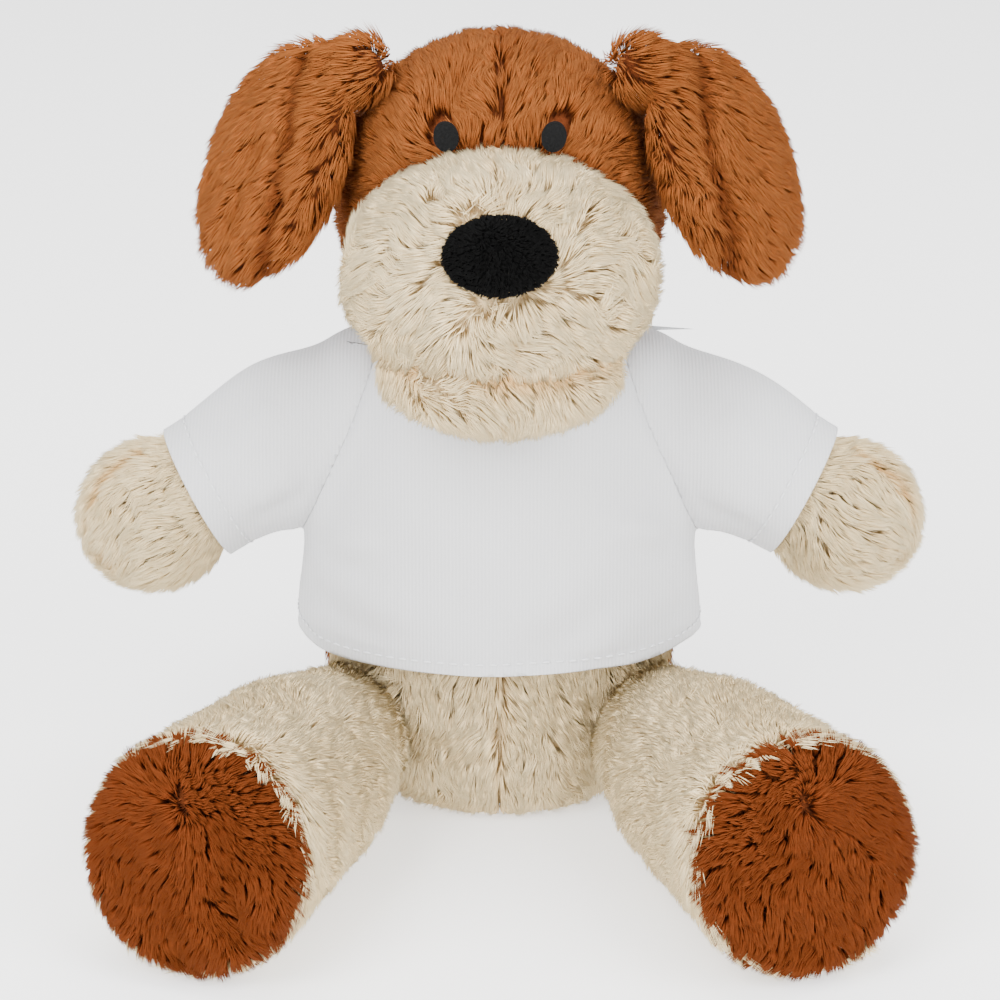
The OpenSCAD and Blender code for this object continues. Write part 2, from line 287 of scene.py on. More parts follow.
def build_mesh(name, points, faces, smooth=True):
    """Object from points in millimetres and faces that all have the same number of corners."""
    faces = np.asarray(faces, dtype=np.int32)
    corners = faces.shape[1]
    mesh = bpy.data.meshes.new(name)
    mesh.vertices.add(len(points))
    mesh.vertices.foreach_set("co", (np.asarray(points) * MM).astype(np.float32).ravel())
    mesh.loops.add(faces.size)
    mesh.loops.foreach_set("vertex_index", faces.ravel())
    mesh.polygons.add(len(faces))
    mesh.polygons.foreach_set("loop_start", np.arange(0, faces.size, corners, dtype=np.int32))
    mesh.update(calc_edges=True)
    mesh.polygons.foreach_set("use_smooth", np.full(len(faces), smooth))
    return new_object(name, mesh)


def add_value(obj, name, values):
    layer = obj.data.attributes.new(name, "FLOAT", "POINT")
    layer.data.foreach_set("value", np.asarray(values, dtype=np.float32))


def ball_rays(subdivisions):
    """Directions and triangles of an icosphere."""
    bm = bmesh.new()
    bmesh.ops.create_icosphere(bm, subdivisions=subdivisions, radius=1)
    rays = np.array([v.co[:] for v in bm.verts])
    tris = np.array([[v.index for v in f.verts] for f in bm.faces])
    bm.free()
    return unit(rays), tris


RAYS, RAY_TRIS = ball_rays(6)


def skin_of(solid, centre, depth=PILE, reach=130):
    """Points and triangles of the surface that lies depth inside a solid, seen from a point within it."""
    low = np.zeros(len(RAYS))
    high = np.full(len(RAYS), float(reach))
    centre = vec(centre)
    for _ in range(24):
        middle = (low + high) / 2
        inside = solid(centre + RAYS * middle[:, None]) < -depth
        low = np.where(inside, middle, low)
        high = np.where(inside, high, middle)
    return centre + RAYS * low[:, None], RAY_TRIS


# ---------------------------------------------------------------- materials
def shader(name, roughness, sheen=0.0):
    """A new material and its Principled shader."""
    material = bpy.data.materials.new(name)
    material.use_nodes = True
    principled = material.node_tree.nodes["Principled BSDF"]
    principled.inputs["Roughness"].default_value = roughness
    principled.inputs["Specular IOR Level"].default_value = 0.08
    principled.inputs["Sheen Weight"].default_value = sheen
    principled.inputs["Sheen Roughness"].default_value = 0.5
    return material, principled


def node(material, kind, **values):
    made = material.node_tree.nodes.new(kind)
    for key, value in values.items():
        setattr(made, key, value)
    return made


def link(material, a, b):
    material.node_tree.links.new(a, b)


def colour_ramp(material, factor, stops):
    made = node(material, "ShaderNodeValToRGB")
    elements = made.color_ramp.elements
    while len(elements) < len(stops):
        elements.new(0.5)
    for element, (position, colour) in zip(elements, stops):
        element.position = position
        element.color = (*colour, 1)
    link(material, factor, made.inputs["Fac"])
    return made.outputs["Color"]


def mix_colour(material, factor, a, b, blend="MIX"):
    made = node(material, "ShaderNodeMix", data_type="RGBA", blend_type=blend)
    for socket, value in ((made.inputs["Factor"], factor), (made.inputs["A"], a), (made.inputs["B"], b)):
        if isinstance(value, bpy.types.NodeSocket):
            link(material, value, socket)
        else:
            socket.default_value = value if isinstance(value, float) else (*value, 1)
    return made.outputs["Result"]


def attribute(material, name):
    return node(material, "ShaderNodeAttribute", attribute_name=name).outputs["Fac"]


def noise(material, scale, detail=3.0):
    coords = node(material, "ShaderNodeTexCoord")
    made = node(material, "ShaderNodeTexNoise")
    made.inputs["Scale"].default_value = scale
    made.inputs["Detail"].default_value = detail
    link(material, coords.outputs["Object"], made.inputs["Vector"])
    return made.outputs["Fac"]


def add_bump(material, principled, height, distance, strength=1.0):
    bump = node(material, "ShaderNodeBump")
    bump.inputs["Strength"].default_value = strength
    bump.inputs["Distance"].default_value = distance
    link(material, height, bump.inputs["Height"])
    link(material, bump.outputs["Normal"], principled.inputs["Normal"])


def fur_material(name, pile, crease):
    """Pile: darker at its root, partly its own tone and partly painted shade between the tufts, and darker towards
    the creases, where the tufts are pushed together, with painted shade multiplied in.
    """
    material, principled = shader(name, 0.85)
    stops = [(0.0, pile["root"]), (0.45, pile["middle"]), (1.0, pile["tip"])]
    along = colour_ramp(material, attribute(material, "along"), stops)
    tint = colour_ramp(material, attribute(material, "shade"), [(0.0, (0.80, 0.77, 0.72)), (1.0, (1.0, 1.0, 1.0))])
    shaded = mix_colour(material, 1.0, along, tint, "MULTIPLY")
    # Painted shade: the crease colour multiplied into the pile where the crease value is high.
    in_crease_shade = mix_colour(material, 1.0, shaded, crease, "MULTIPLY")
    colour = mix_colour(material, attribute(material, "crease"), shaded, in_crease_shade)
    link(material, colour, principled.inputs["Base Color"])
    return material


def skin_material(name, colours, pattern):
    """Backing cloth under the pile: one colour, or two shared out by a value on the mesh. These are the piles' root
    colours, so where it shows between tufts it carries the same painted shade.
    """
    material, principled = shader(name, 0.9)
    colour = mix_colour(material, attribute(material, pattern), colours[0], colours[1])
    speckle = colour_ramp(material, noise(material, 900.0), [(0.3, (0.7, 0.7, 0.7)), (0.7, (1.0, 1.0, 1.0))])
    link(material, mix_colour(material, 1.0, colour, speckle, "MULTIPLY"), principled.inputs["Base Color"])
    add_bump(material, principled, noise(material, 1500.0), 0.0003)
    return material


def cloth_material(name, colour, mottled, scale, distance, sheen=0.0):
    """Plain cloth, thread or filling, mottled a little at its own grain."""
    material, principled = shader(name, 0.85, sheen)
    grain = noise(material, scale)
    shades = [(0.3, tuple(c * (1 - mottled) for c in colour)), (0.7, colour)]
    link(material, colour_ramp(material, grain, shades), principled.inputs["Base Color"])
    add_bump(material, principled, grain, distance)
    return material


def jersey_material():
    """White knit: fine upright wales, each a column of small loops."""
    material, principled = shader("jersey_knit", 0.9, 0.1)
    coords = node(material, "ShaderNodeTexCoord")
    wales = node(material, "ShaderNodeTexWave", wave_type="BANDS", bands_direction="X", wave_profile="SIN")
    wales.inputs["Scale"].default_value = 350.0
    wales.inputs["Distortion"].default_value = 0.6
    wales.inputs["Detail"].default_value = 1.0
    link(material, coords.outputs["Object"], wales.inputs["Vector"])
    grain = noise(material, 1400.0)
    height = mix_colour(material, 0.35, wales.outputs["Fac"], grain)
    shades = [(0.2, (0.58, 0.585, 0.60)), (0.8, (0.63, 0.635, 0.65))]
    link(material, colour_ramp(material, height, shades), principled.inputs["Base Color"])
    add_bump(material, principled, height, 0.00008)
    return material


# Linear colours of the pile, from the root of a tuft to its tip; the darker root is partly the pile's own tone and
# partly painted shade of the hollows between tufts
BROWN = {"root": (0.14, 0.034, 0.010), "middle": (0.25, 0.070, 0.016), "tip": (0.38, 0.130, 0.034)}
SOLE_BROWN = {"root": (0.08, 0.014, 0.003), "middle": (0.13, 0.026, 0.005), "tip": (0.20, 0.050, 0.012)}
CREAM = {"root": (0.80, 0.60, 0.33), "middle": (0.88, 0.70, 0.41), "tip": (0.93, 0.79, 0.50)}
BLACK = {"root": (0.001, 0.001, 0.001), "middle": (0.002, 0.002, 0.002), "tip": (0.004, 0.004, 0.004)}
# The last colour given to each pile is its painted crease shade.
brown_fur = fur_material("brown_pile", BROWN, (0.45, 0.36, 0.32))
sole_fur = fur_material("sole_pile", SOLE_BROWN, (0.5, 0.4, 0.4))
cream_fur = fur_material("cream_pile", CREAM, (0.80, 0.62, 0.42))
black_fur = fur_material("black_pile", BLACK, (0.5, 0.5, 0.5))
backing = skin_material("backing", (BROWN["root"], CREAM["root"]), "cream")
fibre = cloth_material("filling_fibre", (0.75, 0.75, 0.72), 0.25, 300.0, 0.0006)
pellet_cloth = cloth_material("pellet_cloth", (0.5, 0.48, 0.42), 0.3, 900.0, 0.0002)
thread = cloth_material("sewing_thread", (0.78, 0.79, 0.81), 0.15, 3000.0, 0.0001)
eye_felt = cloth_material("eye_felt", (0.007, 0.007, 0.007), 0.5, 1800.0, 0.0003)
nose_cloth = cloth_material("nose_cloth", (0.004, 0.004, 0.004), 0.5, 1500.0, 0.0003)
jersey = jersey_material()

# ---------------------------------------------------------------- fur
# Tufts on a square millimetre of skin, and the most that one piece holds
DENSITY = 4.6
MAX_TUFTS = 33000
# Least height of any tuft over the floor
FLOOR_GAP = 0.4


def scatter(points, tris, keep, density, rng):
    """Random roots, evenly over the part of a surface whose triangles' centres pass keep."""
    centres = points[tris].mean(axis=1)
    tris = tris[keep(centres)]
    a, b, c = (points[tris[:, i]] for i in range(3))
    area = np.linalg.norm(np.cross(b - a, c - a), axis=1) / 2
    count = min(MAX_TUFTS, int(area.sum() * density))
    pick = np.searchsorted(np.cumsum(area), rng.uniform(0, area.sum(), count))
    pick = np.minimum(pick, len(tris) - 1)
    u, v = rng.uniform(size=(2, count, 1))
    over = (u + v) > 1
    u, v = np.where(over, 1 - u, u), np.where(over, 1 - v, v)
    return a[pick] + u * (b[pick] - a[pick]) + v * (c[pick] - a[pick])


def nearest(points, targets):
    """For each point, the index of the nearest target."""
    tree = kdtree.KDTree(len(targets))
    for i, t in enumerate(targets):
        tree.insert(t, i)
    tree.balance()
    return np.array([tree.find(p)[1] for p in points])


def tuft_mesh(name, root, middle, tip, radius, shade, crease):
    """Closed three-sided spindles, thin at both ends, that bend at their middle."""
    count = len(root)
    axis = unit(tip - root)
    side = unit(np.cross(axis, vec((0.3, 0.5, 0.81))))
    other = np.cross(axis, side)
    corners = [root]
    for k in range(3):
        angle = 2 * np.pi * k / 3
        corners.append(middle + (side * np.cos(angle) + other * np.sin(angle)) * radius[:, None])
    corners.append(tip)
    points = np.stack(corners, axis=1)
    tris = np.array([(0, 2, 1), (0, 3, 2), (0, 1, 3), (4, 1, 2), (4, 2, 3), (4, 3, 1)])
    faces = (np.arange(count)[:, None, None] * 5 + tris[None]).reshape(-1, 3)
    obj = build_mesh(name, points.reshape(-1, 3), faces)
    add_value(obj, "along", np.tile([0, 0.5, 0.5, 0.5, 1.0], count))
    add_value(obj, "shade", np.repeat(shade, 5))
    add_value(obj, "crease", np.repeat(crease, 5))
    lay_out_tufts(obj, faces, count)
    return obj


def lay_out_tufts(obj, faces, count):
    """A texture layout with one small upright cell for each tuft, its root at the bottom."""
    columns = int(math.ceil(math.sqrt(count * 2)))
    rows = int(math.ceil(count / columns))
    cell = np.arange(count)
    left = (cell % columns + 0.25) / columns
    low = (cell // columns + 0.1) / rows
    across = np.array([0.25, 0, 0.25, 0.5, 0.25]) / columns
    up = np.array([0, 0.4, 0.4, 0.4, 0.8]) / rows
    uv = np.stack([left[:, None] + across, low[:, None] + up], axis=2).reshape(-1, 2)
    layer = obj.data.uv_layers.new(name="OFBake")
    layer.data.foreach_set("uv", uv[faces.ravel()].astype(np.float32).ravel())


def no_crease(p):
    return np.zeros(len(p))


def fur(name, solid, skin, keep, flow, material, body_name, seed, crease=no_crease, length=8.6, lean=54,
        radius=0.16, clump=2.2, gather=0.30, ruffle=0.4, density=1.0):
    """Pile on part of a bag's skin. Tufts lean along flow, and their tips gather into small locks.

    length, radius and clump, the width of a lock, are in millimetres, and lean is in degrees off the skin's normal.
    gather is how far tips are drawn into their lock, ruffle how much the flow wanders, and density a multiplier.
    """
    rng = np.random.default_rng(seed)
    root = scatter(*skin, keep, DENSITY * density, rng)
    in_crease_shade = crease(root)
    normal = gradient(solid, root)
    comb = unit(flow(root)) + ruffle * wobble(root, 16, seed) + 0.25 * wobble(root, 5, seed + 1)
    comb = unit(comb - normal * np.sum(comb * normal, axis=1, keepdims=True))
    size = length * rng.uniform(0.75, 1.12, len(root)) * (1 - 0.35 * in_crease_shade)
    low = math.radians(lean * 0.65)
    high = math.radians(lean * 1.35)
    middle = root + (normal * math.cos(low) + comb * math.sin(low)) * (size * 0.5)[:, None]
    tip = middle + (normal * math.cos(high) + comb * math.sin(high)) * (size * 0.5)[:, None]
    locks = max(1, int(len(root) / (DENSITY * density * clump ** 2)))
    chosen = rng.choice(len(root), locks, replace=False)
    group = nearest(root, root[chosen])
    goal = (tip[chosen] + rng.normal(size=(locks, 3)) * 0.8)[group]
    tip = tip + (goal - tip) * (gather * rng.uniform(0.5, 1.3, (len(root), 1)))
    middle = middle + (middle[chosen][group] - middle) * 0.2
    for part in (middle, tip):
        part[:, 2] = np.maximum(part[:, 2], FLOOR_GAP)
    shade = 0.55 * rng.uniform(size=locks)[group] + 0.45 * rng.uniform(size=len(root))
    width = radius * rng.uniform(0.8, 1.2, len(root))
    obj = tuft_mesh(name, root, middle, tip, width, shade, in_crease_shade)
    obj.data.materials.append(material)
    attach(obj, body_name)
    return obj


def skin_object(name, skin, body_name, cream):
    """The cloth that the pile grows from; cream is 1 where it backs cream pile."""
    points, tris = skin
    obj = build_mesh(name, points, tris)
    add_value(obj, "cream", cream(points) * np.ones(len(points)))
    obj.data.materials.append(backing)
    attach(obj, body_name)
    return obj


def away_from(at, also=(0, 0, 0)):
    """Flow that spreads from a point, with a steady share of also."""
    return lambda p: unit(p - vec(at)) + vec(also)


# ---------------------------------------------------------------- head
def is_snout(p):
    return snout(p) < crown_egg(p)


def is_chin(p):
    return is_snout(p) & (chin_egg(p) < muzzle_egg(p))


def head_crease(p):
    """1 in the creases between the panels and along the seam of the forehead and chin, where painted shade darkens
    the pile and the tufts are shorter.
    """
    rim = 1 - ramp(np.abs(snout(p) - crown_egg(p)), 0, 5)
    mouth = (1 - ramp(np.abs(muzzle_egg(p) - chin_egg(p)), 0, 6)) * is_snout(p)
    mouth = mouth * (1 - ramp(np.abs(p[:, 0]), 16, 28))
    seam = (1 - ramp(np.abs(p[:, 0]), 0, 1.6)) * 0.3
    return np.clip(np.maximum.reduce([rim * 0.4, mouth * 0.95, seam]), 0, 1)


def head_flow(p):
    spread = unit(p - vec((0, -70, 162)))
    seam = np.sign(p[:, 0]) * (1 - ramp(np.abs(p[:, 0]), 0, 4))
    spread[:, 0] += seam * 0.35
    spread[:, 2] -= 0.5 * ramp(150 - p[:, 2], 0, 25)
    return spread


def clear_of_nose(p):
    q = (p - vec(NOSE_AT)) @ turning(NOSE_TILT, 0, 0)
    flat = np.hypot(q[:, 0] / (NOSE_R[0] - 2.5), q[:, 2] / (NOSE_R[2] - 2.5))
    return (flat > 1) | (q[:, 1] > 12)


def clear_of_eyes(p):
    away = np.hypot(np.abs(p[:, 0]) - EYE_X, p[:, 2] - EYE_Z + 1.5)
    return (away > EYE_R) | (p[:, 1] > 0)


def make_head():
    skin = skin_of(head, HEAD_CENTRE)
    obj = skin_object("head_skin", skin, "head", lambda p: is_snout(p).astype(float))
    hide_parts("crown_left", "crown_right", "muzzle_left", "muzzle_right", "chin_panel")
    seed = 10
    for name, side in SIDES.items():
        seed += 1
        crown = lambda p, side=side: ~is_snout(p) & (p[:, 0] * side >= 0) & clear_of_eyes(p)
        fur("crown_%s_fur" % name, head, skin, crown, head_flow, brown_fur, "head", seed, head_crease,
            length=7.4, density=1.15)
        muzzle = lambda p, side=side: is_snout(p) & ~is_chin(p) & (p[:, 0] * side >= 0) & clear_of_nose(p)
        fur("muzzle_%s_fur" % name, head, skin, muzzle, head_flow, cream_fur, "head", seed + 10, head_crease,
            ruffle=0.75, clump=3.0, gather=0.42)
    chin = fur("chin_fur", head, skin, is_chin, head_flow, cream_fur, "head", 31, head_crease, ruffle=0.7)
    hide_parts("mouth_thread")


def make_nose():
    axes = turning(NOSE_TILT, 0, 0)
    solid = egg(NOSE_AT, NOSE_R, axes)
    skin = skin_of(solid, NOSE_AT, 0.9)
    obj = build_mesh("nose_skin", *skin)
    obj.data.materials.append(nose_cloth)
    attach(obj, "head")
    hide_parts("nose")
    outer = lambda p: ((p - vec(NOSE_AT)) @ axes)[:, 1] < 1.5
    fur("nose_fur", solid, skin, outer, away_from((0, -76, 170)), black_fur, "head", 41, length=1.8, lean=45,
        radius=0.14, clump=0.8, gather=0.3, density=4)


# ---------------------------------------------------------------- ears
def make_ear(name, side, seed):
    solid = ear(side)
    skin = skin_of(solid, mirrored(EAR_CENTRE, side))
    obj = skin_object("ear_%s_skin" % name, skin, "ear_" + name, lambda p: 0.0)
    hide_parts("ear_%s_front" % name, "ear_%s_back" % name)
    outside_head = lambda p: head(p) > -4
    centre = mirrored(EAR_ROOT, side)

    def flow(p):
        top = ramp(p[:, 2], 174, 190)[:, None]
        down = top * mirrored((1.0, 0, -0.2), side) + (1 - top) * mirrored((0.45, 0, -0.9), side)
        down = down + 0.3 * (1 - top) * unit(p - centre)
        across = mirrored((0.55, 0, 0), side) * ramp(p[:, 0] * side, 50, 72)[:, None]
        return down + across

    # Painted shade in the fold of the ear: this darkens the pile there and shortens its tufts.
    def pleat(p):
        along = (p[:, 0] * side - 44) * 0.35 + (p[:, 2] - 170)
        off = np.abs(p[:, 0] * side - 47 - 0.25 * (178 - p[:, 2]))
        return (1 - ramp(off, 0, 3.5)) * (p[:, 1] < -2) * (along < 25) * 0.9

    fur("ear_%s_fur" % name, solid, skin, outside_head, flow, brown_fur, "ear_" + name, seed, pleat,
        length=8.0, lean=58, ruffle=0.3, density=1.15)


# ---------------------------------------------------------------- limbs
def make_arm(name, side, seed):
    solid = arm(side)
    at, axes = arm_place(side)
    skin = skin_of(solid, at + axes[:, 2] * 34)
    obj = skin_object("arm_%s_skin" % name, skin, "arm_" + name, lambda p: 1.0)
    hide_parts("arm_%s_cover" % name)
    tip_at = at + axes[:, 2] * (ARM_LEN - 6) + axes[:, 1] * -8

    def past_sleeve(p):
        return ((p - at) @ axes)[:, 2] > CUFF_AT - 9

    # Painted shade along the dart and where the tufts meet at the paw's tip; the tufts there are also shorter.
    def dart(p):
        q = (p - at) @ axes
        off = np.abs(q[:, 1] + 3 + 0.1 * (q[:, 2] - 45))
        near_top = (q[:, 0] < 0) & (q[:, 2] > 36) & (q[:, 2] < 58)
        star = 1 - ramp(np.linalg.norm(p - tip_at, axis=1), 2, 7)
        return np.maximum((1 - ramp(off, 0, 2.6)) * near_top, star * 0.8)

    flow = lambda p: unit(tip_at + axes[:, 2] * 6 - p)
    fur("arm_%s_fur" % name, solid, skin, past_sleeve, flow, cream_fur, "arm_" + name, seed, dart, density=1.4)


def make_leg(name, side, seed):
    solid = leg(side)
    at, axes = leg_place(side)
    skin = skin_of(solid, at + axes[:, 2] * 42)

    def along(p):
        return ((p - at) @ axes)[:, 2]

    def off_axis(p):
        q = (p - at) @ axes
        return np.hypot(q[:, 0], q[:, 1])

    def from_end(p):
        return LEG_LEN - along(p) - height_over(at, axes, p) * math.tan(math.radians(SOLE_TILT))

    def on_sole(p):
        return (from_end(p) < PILE + 3.5) & (off_axis(p) < SOLE_R)

    obj = skin_object("leg_%s_skin" % name, skin, "leg_" + name, lambda p: (~on_sole(p)).astype(float))
    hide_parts("leg_%s_cover" % name, "sole_" + name)

    def flow(p):
        forward = ramp(-from_end(p), -22, -8)[:, None] * 0.9
        return axes[:, 2] * (forward - 0.7) + vec((0, 0, -0.5)) + 0.2 * mirrored((1, 0, 0), side)

    # Painted shade round the rim of the sole, where the cream pile meets the brown; the tufts there are also
    # shorter.
    def rim(p):
        return (1 - ramp(from_end(p) - PILE, 0, 3)) * 0.5

    for k, part in enumerate(("upper", "lower")):
        def keep(p, part=part):
            upper = p[:, 2] - at[2] > 0.052 * along(p)
            return ~on_sole(p) & (upper == (part == "upper"))
        fur("leg_%s_%s_fur" % (name, part), solid, skin, keep, flow, cream_fur, "leg_" + name, seed + k, rim,
            lean=58, ruffle=0.3)
    sole_at = at + axes[:, 2] * (LEG_LEN - PILE) + vec((0, 0, 10))
    sole_flow = lambda p: 0.8 * unit(p - sole_at) + vec((0, 0, -0.4)) + 0.3 * mirrored((-1, 0, 0), side)
    fur("sole_%s_fur" % name, solid, skin, on_sole, sole_flow, sole_fur, "leg_" + name, seed + 2, length=6.2,
        lean=42, radius=0.2, clump=2.0, density=1.9)


# ---------------------------------------------------------------- body and tail
def make_body():
    solid = lambda p: np.maximum(body(p) + PILE, 1.2 - p[:, 2])
    skin = skin_of(solid, (0, 0, 40), 0)
    cream = lambda p: (p[:, 1] < SIDE_SEAM_Y).astype(float)
    obj = skin_object("body_skin", skin, "torso", cream)
    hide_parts("belly_panel", "back_panel", "seat_panel")
    low = lambda p: (p[:, 2] < HEM_Z + 9) & (body(p) < -2)
    # Painted shade along the middle seam and the side seam; the tufts there are also shorter.
    seam = lambda p: np.maximum((1 - ramp(np.abs(p[:, 0]), 0, 1.4)) * 0.25,
                                1 - ramp(np.abs(p[:, 1] - SIDE_SEAM_Y), 0, 2))
    down = lambda p: vec((0, 0, -1)) + 0.35 * np.sign(p[:, :1]) * vec((1, 0, 0))
    for name, front in (("belly", True), ("back", False)):
        side = lambda p, front=front: low(p) & ((p[:, 1] < SIDE_SEAM_Y) == front)
        material = cream_fur if front else brown_fur
        fur(name + "_fur", body, skin, side, down, material, "torso", 61 + front, seam)


def make_tail():
    at, axes = tail_place()
    skin = skin_of(tail, at + axes[:, 2] * 12, 4.4)
    obj = skin_object("tail_skin", skin, "tail", lambda p: 0.0)
    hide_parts("tail_cover")
    outside = lambda p: body(p) > -4
    fur("tail_fur", tail, skin, outside, lambda p: axes[:, 2] * np.ones((len(p), 1)), brown_fur, "tail", 71,
        length=7.5)


# ---------------------------------------------------------------- T-shirt
NECK_HOLE_R = 23.0
SLEEVE_R = 18.1
# Foot and top of a raglan seam, across and up
SEAM_FOOT = (48.0, 76.0)
SEAM_TOP = (31.0, 119.0)
# Where the rows of stitches run: along the arm from the shoulder, and up from the seat
CUFF_STITCH_AT = 27.0
HEM_STITCH_Z = 47.4


def shirt(p):
    """The T-shirt's outer surface as one smooth solid, with its soft folds."""
    sleeves = [capsule(*arm_place(side), SLEEVE_R, -14, 60)(p) for side in (LEFT, RIGHT)]
    trunk = barrel(2.6, HEM_FLARE)(p)
    caps = [shoulder_cap(side)(p) for side in (LEFT, RIGHT)]
    whole = smooth_min(smooth_min(trunk, sleeves[0], 9), sleeves[1], 9)
    whole = smooth_min(smooth_min(whole, caps[0], 6), caps[1], 6)
    return whole - folds(p)


def shoulder_cap(side):
    """The fuller cloth at the top of a sleeve, between the raglan seam and the cuff."""
    at, axes = arm_place(side)
    return egg(at + axes[:, 2] * 9 + vec((0, 0, 1.5)), (19.5, 17.5, 25), axes)


def ridge(p, a, b, width, height):
    """A soft fold along the line from a to b."""
    a, b = vec(a), vec(b)
    t = np.clip(((p - a) @ (b - a)) / ((b - a) @ (b - a)), 0, 1)
    off = np.linalg.norm(p - a - t[:, None] * (b - a), axis=1)
    ends = np.sin(np.pi * np.clip(t, 0.02, 0.98)) ** 0.5
    return height * ends * np.exp(-(off / width) ** 2)


# Each fold of the shirt: where it starts and ends, its width and its height
FOLDS = (
    ((-48, -12, 66), (-26, -38, 62), 5, 1.5),
    ((-50, -14, 55), (-22, -40, 50), 4.5, 1.3),
    ((-44, -20, 74), (-30, -38, 78), 4, 0.9),
    ((48, -12, 62), (20, -42, 54), 5, 1.4),
    ((50, -14, 52), (28, -38, 47), 4, 1.0),
    ((44, -22, 76), (28, -38, 84), 4, 1.0),
    ((0, -44, 60), (26, -40, 72), 7, 0.8),
    ((-56, -14, 108), (-66, -18, 92), 4, 0.9),
    ((-50, -18, 92), (-62, -20, 84), 4, 1.0),
    ((54, -16, 106), (66, -18, 90), 4, 0.9),
    ((50, -18, 90), (64, -20, 80), 4, 1.0),
    ((-30, 36, 60), (20, 40, 66), 6, 1.3),
    ((30, 34, 52), (-10, 42, 50), 5, 1.1),
    ((-46, 14, 78), (-20, 38, 88), 5, 1.0),
    ((46, 14, 76), (24, 36, 90), 5, 1.0),
)


# Multiplies the height of every fold
FOLD_DEPTH = 1.5


def folds(p):
    total = 0.55 * wobble(p, 34, 5)[:, 0]
    for a, b, width, height in FOLDS:
        total = total + ridge(p, a, b, width, height * FOLD_DEPTH)
        shifted = (vec(a) - (0, 0, width * 1.7), vec(b) - (0, 0, width * 1.7))
        total = total - ridge(p, *shifted, width * 0.8, height * FOLD_DEPTH * 0.7)
    return total


def project(p, solid, rounds=4, longest=1.5):
    """Points moved onto the zero level of a solid, each by no more than longest in a round."""
    for _ in range(rounds):
        step = np.clip(solid(p) * 0.9, -longest, longest)
        p = p - gradient(solid, p, 0.3) * step[:, None]
    return p


def relaxed(mesh, points):
    """Points moved halfway to the middle of their neighbours, which opens any fold in the mesh."""
    edges = np.array([e.vertices[:] for e in mesh.edges])
    total = np.zeros_like(points)
    count = np.zeros(len(points))
    for here, there in ((0, 1), (1, 0)):
        np.add.at(total, edges[:, here], points[edges[:, there]])
        np.add.at(count, edges[:, here], 1)
    return (points + total / count[:, None]) / 2


def seam_plane(side):
    """A point on a raglan seam's plane, and its normal towards the sleeve."""
    across, up = SEAM_TOP[0] - SEAM_FOOT[0], SEAM_TOP[1] - SEAM_FOOT[1]
    return vec((SEAM_FOOT[0] * side, 0, SEAM_FOOT[1])), unit(vec((up * side, 0, -across)))


def shirt_surface():
    """A fine, even mesh of the whole shirt before it is cut open: trunk and sleeves melted into one."""
    pieces = [skin_of(barrel(2.6, HEM_FLARE), (0, 0, 60), 0)]
    for side in (LEFT, RIGHT):
        at, axes = arm_place(side)
        pieces.append(skin_of(capsule(at, axes, SLEEVE_R, -14, 60), at + axes[:, 2] * 20, 0))
    points = np.vstack([p for p, _ in pieces])
    tris = np.vstack([t + k * len(RAYS) for k, (_, t) in enumerate(pieces)])
    obj = build_mesh("shirt_rough", points, tris)
    remesh = obj.modifiers.new("remesh", "REMESH")
    remesh.mode = "VOXEL"
    remesh.voxel_size = 1.3 * MM
    evaluated = obj.evaluated_get(bpy.context.evaluated_depsgraph_get())
    mesh = bpy.data.meshes.new_from_object(evaluated)
    points = np.array([v.co[:] for v in mesh.vertices]) / MM
    for _ in range(3):
        points = relaxed(mesh, project(points, shirt, 3))
    points = project(points, shirt)
    mesh.vertices.foreach_set("co", (points * MM).astype(np.float32).ravel())
    bpy.data.objects.remove(obj)
    return mesh


def cut(bm, at, normal, clear):
    geometry = bm.verts[:] + bm.edges[:] + bm.faces[:]
    bmesh.ops.bisect_plane(bm, geom=geometry, dist=1e-6, plane_co=Vector(at) * MM, plane_no=Vector(normal),
                           clear_outer=clear)


def shirt_part(source, name, keep):
    """One panel of the shirt: the faces that pass keep, given the jersey's thickness."""
    bm = bmesh.new()
    bm.from_mesh(source)
    centres = np.array([f.calc_center_median()[:] for f in bm.faces]) / MM
    kept = keep(centres)
    bmesh.ops.delete(bm, geom=[f for f, k in zip(bm.faces[:], kept) if not k], context="FACES")
    for vert in bm.verts:
        p = vec(vert.co[:]) / MM
        vert.co = Vector(p - vec(vert.normal[:]) * seam_dip(p)) * MM
    bm.normal_update()
    bmesh.ops.solidify(bm, geom=bm.faces[:], thickness=JERSEY_T * MM)
    mesh = bpy.data.meshes.new(name)
    bm.to_mesh(mesh)
    bm.free()
    mesh.polygons.foreach_set("use_smooth", np.ones(len(mesh.polygons), dtype=bool))
    obj = new_object(name, mesh)
    obj.data.materials.append(jersey)
    return obj


def seam_dip(p):
    """How far the cloth is drawn in at a point by the raglan seams and the hems' stitching."""
    dip = 0.0
    for side in (LEFT, RIGHT):
        at, normal = seam_plane(side)
        off = abs(float((p - at) @ normal))
        dip = max(dip, 1.0 * math.exp(-((off / 1.2) ** 2)))
        start, axes = arm_place(side)
        along = float((p - start) @ axes[:, 2])
        dip = max(dip, 0.35 * math.exp(-(((along - CUFF_STITCH_AT) / 0.7) ** 2)) * (along > 20))
    return max(dip, 0.35 * math.exp(-(((p[2] - HEM_STITCH_Z - HEM_TILT * p[1]) / 0.7) ** 2)))


